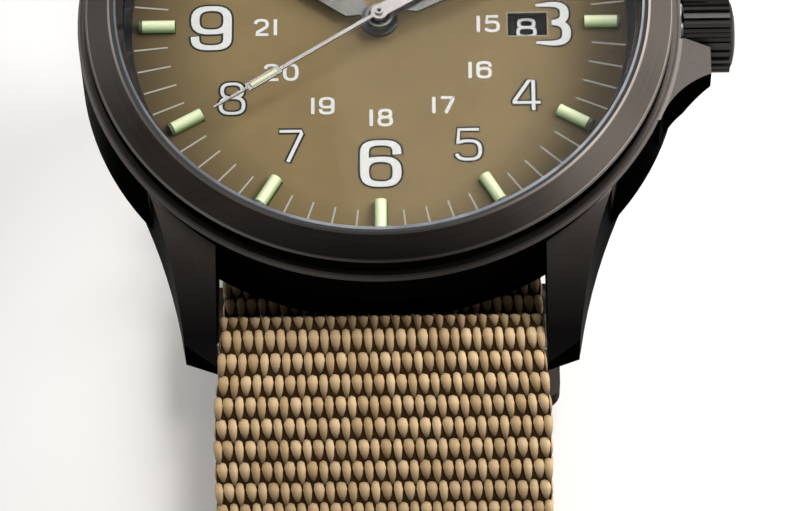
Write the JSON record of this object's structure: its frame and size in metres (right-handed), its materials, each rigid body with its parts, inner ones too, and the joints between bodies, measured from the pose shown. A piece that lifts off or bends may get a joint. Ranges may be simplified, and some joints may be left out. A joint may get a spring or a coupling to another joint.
{
  "type": "field watch",
  "caption": "Field wristwatch with guarded fluted crown, gas-tube dial, date window and a woven pass-through strap closed round the wrist space.",
  "frame": {"origin": "centre of the strap's flat wrist face below the case, on the dial's axis", "axes": "+Z out of the dial, +Y towards 12 o'clock, +X towards the crown"},
  "size_m": [0.0456, 0.0795, 0.0549],
  "materials": {
    "case_metal": "brushed gunmetal coating",
    "crystal": "polished flat crystal",
    "rubber": "matte",
    "rehaut": "satin",
    "dial": "matte, fine grain",
    "lume": "gas tubes",
    "socket": "dark tube sockets",
    "hand_metal": "fine brushed",
    "holder_plastic": "moulded",
    "brass": "plain",
    "steel": "plain",
    "copper_wire": "enamelled wire",
    "board": "solder mask",
    "magnet": "sintered",
    "date_black": "printed",
    "strap_fabric": "tan woven nylon"
  },
  "bodies": {
    "watch": {"mid_case": "case_metal", "bezel_ring": "case_metal", "case_back": "case_metal", "crystal": "crystal", "crystal_gasket": "rubber", "back_gasket": "rubber", "rehaut_ring": "rehaut", "dial_plate": "dial", "dial_tubes": "lume", "tube_sockets": "socket", "movement_ring": "holder_plastic", "main_plate": "brass", "train_bridge": "brass", "bridge_screws": "steel", "stator": "steel", "coil": "copper_wire", "circuit_board": "board", "quartz_can": "steel", "button_cell": "steel", "cell_clamp": "steel", "date_jumper": "steel", "crown_tube": "steel", "bar_tube_six": "steel", "bar_tube_twelve": "steel", "bar_springs": "steel", "strap": "strap_fabric", "buckle_bar": "steel", "keeper_fixed": "case_metal"},
    "second_train": {"second_wheel": "brass", "second_hand": "hand_metal", "second_tube": "lume"},
    "minute_train": {"centre_wheel": "brass", "minute_hand": "hand_metal", "minute_tube": "lume"},
    "hour_train": {"hour_wheel": "brass", "hour_hand": "hand_metal", "hour_tube": "lume"},
    "motor_rotor": {"rotor": "magnet"},
    "intermediate": {"intermediate_wheel": "brass"},
    "third": {"third_wheel": "brass"},
    "minute_gear": {"minute_wheel": "brass"},
    "date_gear": {"date_wheel": "brass"},
    "date_ring": {"date_disc": "date_black"},
    "crown_seal": {"crown_gasket": "rubber"},
    "winding": {"crown": "case_metal", "stem": "steel", "sliding_pinion": "steel"},
    "pull_lever": {"setting_lever": "steel"},
    "pin_six_left": {"bar_pin_six_left": "steel"},
    "pin_six_right": {"bar_pin_six_right": "steel"},
    "pin_twelve_left": {"bar_pin_twelve_left": "steel"},
    "pin_twelve_right": {"bar_pin_twelve_right": "steel"},
    "buckle": {"buckle_frame": "case_metal"},
    "tongue": {"buckle_tongue": "case_metal"},
    "loose_keeper": {"keeper_loose": "case_metal"}
  },
  "joints": [
    {"name": "second_turn", "type": "hinge", "parent": "watch", "child": "second_train", "pos_m": [0, 0, 0.0098], "axis": [0, 0, -1], "continuous": true},
    {"name": "minute_turn", "type": "hinge", "parent": "watch", "child": "minute_train", "pos_m": [0, 0, 0.0098], "axis": [0, 0, -1], "continuous": true},
    {"name": "hour_turn", "type": "hinge", "parent": "watch", "child": "hour_train", "pos_m": [0, 0, 0.0088], "axis": [0, 0, -1], "continuous": true},
    {"name": "rotor_turn", "type": "hinge", "parent": "watch", "child": "motor_rotor", "pos_m": [0.00193, -0.00474, 0.0068], "axis": [0, 0, -1], "continuous": true},
    {"name": "intermediate_turn", "type": "hinge", "parent": "watch", "child": "intermediate", "pos_m": [0.00158, -0.00273, 0.0068], "axis": [0, 0, -1], "continuous": true},
    {"name": "third_turn", "type": "hinge", "parent": "watch", "child": "third", "pos_m": [-0.00246, -0.00172, 0.0068], "axis": [0, 0, -1], "continuous": true},
    {"name": "minute_gear_turn", "type": "hinge", "parent": "watch", "child": "minute_gear", "pos_m": [0.0013, 0.00225, 0.0068], "axis": [0, 0, -1], "continuous": true},
    {"name": "date_gear_turn", "type": "hinge", "parent": "watch", "child": "date_gear", "pos_m": [-0.00213, -0.00586, 0.0068], "axis": [0, 0, -1], "continuous": true},
    {"name": "date_ring_turn", "type": "hinge", "parent": "watch", "child": "date_ring", "pos_m": [0, 0, 0.0078], "axis": [0, 0, -1], "continuous": true},
    {"name": "crown_pull", "type": "slide", "parent": "watch", "child": "crown_seal", "axis": [1, 0, 0], "range_m": [0, 0.001]},
    {"name": "crown_turn", "type": "hinge", "parent": "crown_seal", "child": "winding", "pos_m": [0.021, 0, 0.0068], "axis": [1, 0, 0], "continuous": true},
    {"name": "lever_turn", "type": "hinge", "parent": "watch", "child": "pull_lever", "pos_m": [0.0094, 0.0026, 0.0074], "axis": [0, 0, 1], "range_deg": [0, 22.7]},
    {"name": "pin_six_left_push", "type": "slide", "parent": "watch", "child": "pin_six_left", "axis": [1, 0, 0], "range_m": [0, 0.00125], "stiffness_N_per_m": 800, "springref_m": -0.001, "deforming": ["bar_springs"]},
    {"name": "pin_six_right_push", "type": "slide", "parent": "watch", "child": "pin_six_right", "axis": [-1, 0, 0], "range_m": [0, 0.00125], "stiffness_N_per_m": 800, "springref_m": -0.001, "deforming": ["bar_springs"]},
    {"name": "pin_twelve_left_push", "type": "slide", "parent": "watch", "child": "pin_twelve_left", "axis": [1, 0, 0], "range_m": [0, 0.00125], "stiffness_N_per_m": 800, "springref_m": -0.001, "deforming": ["bar_springs"]},
    {"name": "pin_twelve_right_push", "type": "slide", "parent": "watch", "child": "pin_twelve_right", "axis": [-1, 0, 0], "range_m": [0, 0.00125], "stiffness_N_per_m": 800, "springref_m": -0.001, "deforming": ["bar_springs"]},
    {"name": "buckle_swing", "type": "hinge", "parent": "watch", "child": "buckle", "pos_m": [0, 0.004, -0.03919], "axis": [1, 0, 0], "range_deg": [0, 4]},
    {"name": "tongue_swing", "type": "hinge", "parent": "buckle", "child": "tongue", "pos_m": [0, 0.004, -0.03919], "axis": [1, 0, 0], "range_deg": [0, 5]},
    {"name": "keeper_slide", "type": "slide", "parent": "watch", "child": "loose_keeper", "axis": [0, 0.809, 0.5878], "range_m": [-0.0015, 0.0015]}
  ],
  "couplings": [
    {"joint": "second_turn", "follows": "minute_turn", "ratio": 60},
    {"joint": "third_turn", "follows": "minute_turn", "ratio": -8},
    {"joint": "intermediate_turn", "follows": "minute_turn", "ratio": -360},
    {"joint": "rotor_turn", "follows": "minute_turn", "ratio": 1800},
    {"joint": "minute_gear_turn", "follows": "minute_turn", "ratio": -0.33333},
    {"joint": "hour_turn", "follows": "minute_turn", "ratio": 0.083333},
    {"joint": "date_gear_turn", "follows": "minute_turn", "ratio": -0.041667},
    {"joint": "lever_turn", "follows": "crown_pull", "rad_per_m": 394.79}
  ]
}
